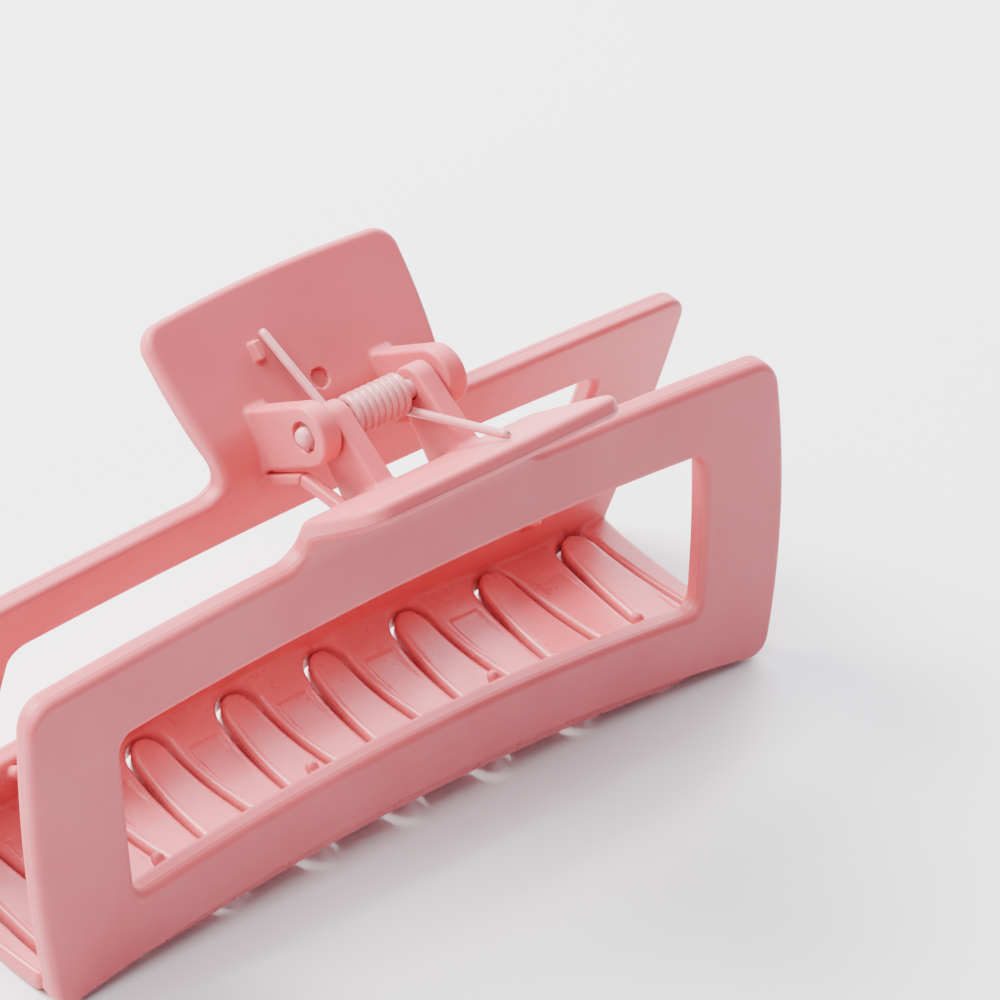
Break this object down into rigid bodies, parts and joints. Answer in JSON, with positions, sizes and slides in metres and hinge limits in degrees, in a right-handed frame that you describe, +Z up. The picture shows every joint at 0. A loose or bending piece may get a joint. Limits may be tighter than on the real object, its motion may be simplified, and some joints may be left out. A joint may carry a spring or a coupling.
{
  "type": "claw clip",
  "caption": "Large rectangular claw clip: two matte pink moulded jaws with windows, flared handles and meshing curved teeth, on a hinge pin with a torsion spring.",
  "frame": {"origin": "on the surface that the closed clip stands on, under the middle of its bounding box", "axes": "+X along the clip and its hinge pin, +Y across it from the front jaw to the rear jaw, +Z up from the teeth to the handles"},
  "size_m": [0.1146, 0.0424, 0.0583],
  "materials": {
    "jaw_plastic": "matte, soft to the touch",
    "pin_paint": "satin paint",
    "spring_paint": "satin paint"
  },
  "bodies": {
    "rear_jaw": {"rear_top_rail": "jaw_plastic", "rear_bottom_rail": "jaw_plastic", "rear_left_post": "jaw_plastic", "rear_right_post": "jaw_plastic", "rear_handle": "jaw_plastic", "rear_hinge_lugs": "jaw_plastic", "rear_closing_stops": "jaw_plastic", "rear_spring_locator": "jaw_plastic", "rear_teeth": "jaw_plastic", "rear_end_teeth": "jaw_plastic", "rear_grip_pegs": "jaw_plastic", "hinge_pin": "pin_paint", "spring_coil": "spring_paint", "spring_rear_leg": "spring_paint"},
    "front_jaw": {"front_top_rail": "jaw_plastic", "front_bottom_rail": "jaw_plastic", "front_left_post": "jaw_plastic", "front_right_post": "jaw_plastic", "front_handle": "jaw_plastic", "front_hinge_lugs": "jaw_plastic", "front_closing_stops": "jaw_plastic", "front_teeth": "jaw_plastic", "front_grip_pegs": "jaw_plastic", "spring_front_leg": "spring_paint"}
  },
  "joints": [
    {"name": "jaw_hinge", "type": "hinge", "parent": "rear_jaw", "child": "front_jaw", "pos_m": [0, 0, 0.0514], "axis": [-1, 0, 0], "range_deg": [0, 60], "stiffness_Nm_per_rad": 0.143, "springref_deg": -51.57}
  ]
}
